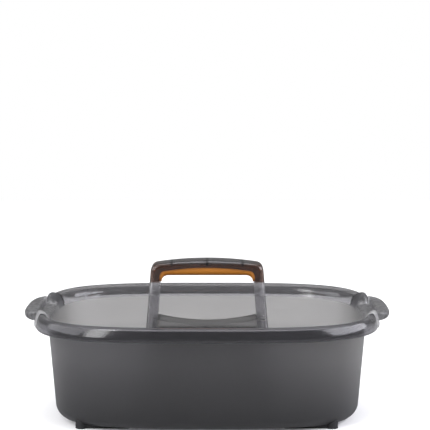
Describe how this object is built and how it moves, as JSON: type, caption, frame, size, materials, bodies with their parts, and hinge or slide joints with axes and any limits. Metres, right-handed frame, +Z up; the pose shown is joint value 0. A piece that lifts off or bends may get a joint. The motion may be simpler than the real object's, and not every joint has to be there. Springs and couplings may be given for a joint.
{
  "type": "carry caddy",
  "caption": "Open translucent carry caddy with a rolled rim, ribbed end grips and a fixed centre bar handle with a soft insert, for cleaning supplies.",
  "frame": {"origin": "centre of the footprint, on the floor the feet stand on", "axes": "+X along the tub from left grip to right grip, +Y from front to back, +Z up"},
  "size_m": [0.4112, 0.2794, 0.1706],
  "materials": {
    "smoke_tub": "smoke-grey translucent polypropylene, satin walls and a glossy rim",
    "smoke_handle": "smoke-grey translucent plastic, satin gloss",
    "orange_insert": "soft orange grip, satin",
    "foot_rubber": "near-black rubber, dull"
  },
  "bodies": {
    "root": {"tub": "smoke_tub", "handle": "smoke_handle", "grip_insert": "orange_insert", "foot_front_left": "foot_rubber", "foot_front_right": "foot_rubber", "foot_back_left": "foot_rubber", "foot_back_right": "foot_rubber"}
  },
  "joints": []
}
